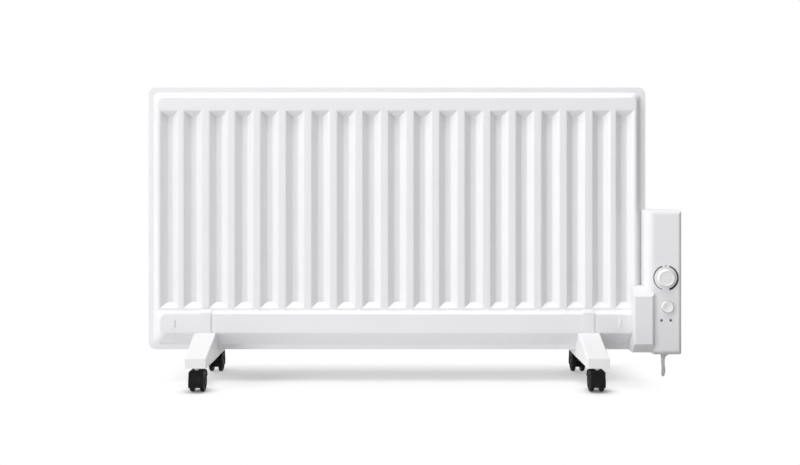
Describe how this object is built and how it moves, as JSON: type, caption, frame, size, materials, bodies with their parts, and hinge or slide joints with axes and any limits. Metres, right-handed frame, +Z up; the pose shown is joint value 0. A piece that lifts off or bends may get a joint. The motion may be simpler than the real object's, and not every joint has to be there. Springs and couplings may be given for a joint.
{
  "type": "oil filled panel radiator heater",
  "caption": "Slim fluted steel panel radiator filled with oil, with a header tube, a control box with dial, button and lamps, a mains lead, and feet on twin wheel castors.",
  "frame": {"origin": "on the floor under the middle of the heater's box, the free lead left out", "axes": "+X along the panel towards the control box, +Y from the front to the back, +Z up"},
  "size_m": [1.1402, 0.5778, 0.577],
  "materials": {
    "panel_white": "white stoved enamel, satin",
    "cover_white": "white moulded plastic, fine satin",
    "knob_white": "white moulded plastic, glossy",
    "foot_white": "white moulded plastic, satin",
    "castor_black": "black nylon",
    "wheel_black": "black nylon tread",
    "strap_white": "white painted steel",
    "zinc_steel": "zinc plated steel",
    "socket_nylon": "natural nylon",
    "element_steel": "oxidised steel sheath",
    "brass": "turned brass",
    "pin_nickel": "nickel plated brass",
    "seal_rubber": "black fibre and rubber washer",
    "phenolic_dark": "dark phenolic moulding",
    "lamp_lens": "smoked lens, unlit",
    "wire_insulation": "coloured wire insulation",
    "cord_grey": "light grey flexible sheath",
    "plug_grey": "light grey moulded plastic",
    "tie_black": "black strap"
  },
  "bodies": {
    "heater": {"front_panel": "panel_white", "rear_panel": "panel_white", "control_cover": "cover_white", "control_housing": "cover_white", "terminal_cover": "cover_white", "foot_left": "foot_white", "foot_right": "foot_white", "hook_straps": "strap_white", "strap_nuts": "zinc_steel", "castor_stems": "zinc_steel", "mounting_plates": "zinc_steel", "plate_screws": "zinc_steel", "cover_screws": "zinc_steel", "filler_plug": "zinc_steel", "element_boss": "zinc_steel", "thermal_cutout": "zinc_steel", "castor_sockets": "socket_nylon", "cord_clamp": "socket_nylon", "heating_element": "element_steel", "element_support": "element_steel", "element_plug": "brass", "element_terminals": "brass", "plug_earth_clips": "brass", "plug_pins": "pin_nickel", "element_seal": "seal_rubber", "thermostat_body": "phenolic_dark", "switch_body": "phenolic_dark", "terminal_block": "phenolic_dark", "pilot_lamps": "lamp_lens", "internal_wires": "wire_insulation", "power_cord": "cord_grey", "cord_coil": "cord_grey", "cord_end": "cord_grey", "cord_tail": "cord_grey", "strain_relief": "cord_grey", "plug_body": "plug_grey", "coil_tie": "tie_black"},
    "castor_front_left": {"castor_hood_front_left": "castor_black", "castor_axle_front_left": "zinc_steel"},
    "wheel_a_front_left": {"castor_wheel_a_front_left": "wheel_black"},
    "wheel_b_front_left": {"castor_wheel_b_front_left": "wheel_black"},
    "castor_rear_left": {"castor_hood_rear_left": "castor_black", "castor_axle_rear_left": "zinc_steel"},
    "wheel_a_rear_left": {"castor_wheel_a_rear_left": "wheel_black"},
    "wheel_b_rear_left": {"castor_wheel_b_rear_left": "wheel_black"},
    "castor_front_right": {"castor_hood_front_right": "castor_black", "castor_axle_front_right": "zinc_steel"},
    "wheel_a_front_right": {"castor_wheel_a_front_right": "wheel_black"},
    "wheel_b_front_right": {"castor_wheel_b_front_right": "wheel_black"},
    "castor_rear_right": {"castor_hood_rear_right": "castor_black", "castor_axle_rear_right": "zinc_steel"},
    "wheel_a_rear_right": {"castor_wheel_a_rear_right": "wheel_black"},
    "wheel_b_rear_right": {"castor_wheel_b_rear_right": "wheel_black"},
    "thermostat_dial": {"thermostat_knob": "knob_white", "thermostat_spindle": "zinc_steel"},
    "button": {"power_button": "knob_white"}
  },
  "joints": [
    {"name": "swivel_front_left", "type": "hinge", "parent": "heater", "child": "castor_front_left", "pos_m": [-0.40325, -0.11, 0.035], "axis": [0, 0, 1], "continuous": true},
    {"name": "roll_a_front_left", "type": "hinge", "parent": "castor_front_left", "child": "wheel_a_front_left", "pos_m": [-0.40325, -0.099, 0.019], "axis": [1, 0, 0], "continuous": true},
    {"name": "roll_b_front_left", "type": "hinge", "parent": "castor_front_left", "child": "wheel_b_front_left", "pos_m": [-0.40325, -0.099, 0.019], "axis": [1, 0, 0], "continuous": true},
    {"name": "swivel_rear_left", "type": "hinge", "parent": "heater", "child": "castor_rear_left", "pos_m": [-0.40325, 0.11, 0.035], "axis": [0, 0, 1], "continuous": true},
    {"name": "roll_a_rear_left", "type": "hinge", "parent": "castor_rear_left", "child": "wheel_a_rear_left", "pos_m": [-0.40325, 0.099, 0.019], "axis": [1, 0, 0], "continuous": true},
    {"name": "roll_b_rear_left", "type": "hinge", "parent": "castor_rear_left", "child": "wheel_b_rear_left", "pos_m": [-0.40325, 0.099, 0.019], "axis": [1, 0, 0], "continuous": true},
    {"name": "swivel_front_right", "type": "hinge", "parent": "heater", "child": "castor_front_right", "pos_m": [0.34175, -0.11, 0.035], "axis": [0, 0, 1], "continuous": true},
    {"name": "roll_a_front_right", "type": "hinge", "parent": "castor_front_right", "child": "wheel_a_front_right", "pos_m": [0.34175, -0.099, 0.019], "axis": [1, 0, 0], "continuous": true},
    {"name": "roll_b_front_right", "type": "hinge", "parent": "castor_front_right", "child": "wheel_b_front_right", "pos_m": [0.34175, -0.099, 0.019], "axis": [1, 0, 0], "continuous": true},
    {"name": "swivel_rear_right", "type": "hinge", "parent": "heater", "child": "castor_rear_right", "pos_m": [0.34175, 0.11, 0.035], "axis": [0, 0, 1], "continuous": true},
    {"name": "roll_a_rear_right", "type": "hinge", "parent": "castor_rear_right", "child": "wheel_a_rear_right", "pos_m": [0.34175, 0.099, 0.019], "axis": [1, 0, 0], "continuous": true},
    {"name": "roll_b_rear_right", "type": "hinge", "parent": "castor_rear_right", "child": "wheel_b_rear_right", "pos_m": [0.34175, 0.099, 0.019], "axis": [1, 0, 0], "continuous": true},
    {"name": "thermostat_turn", "type": "hinge", "parent": "heater", "child": "thermostat_dial", "pos_m": [0.48815, -0.044, 0.2063], "axis": [0, 1, 0], "range_deg": [-265, 35]},
    {"name": "button_press", "type": "slide", "parent": "heater", "child": "button", "axis": [0, 1, 0], "range_m": [0, 0.0025], "stiffness_N_per_m": 600}
  ]
}
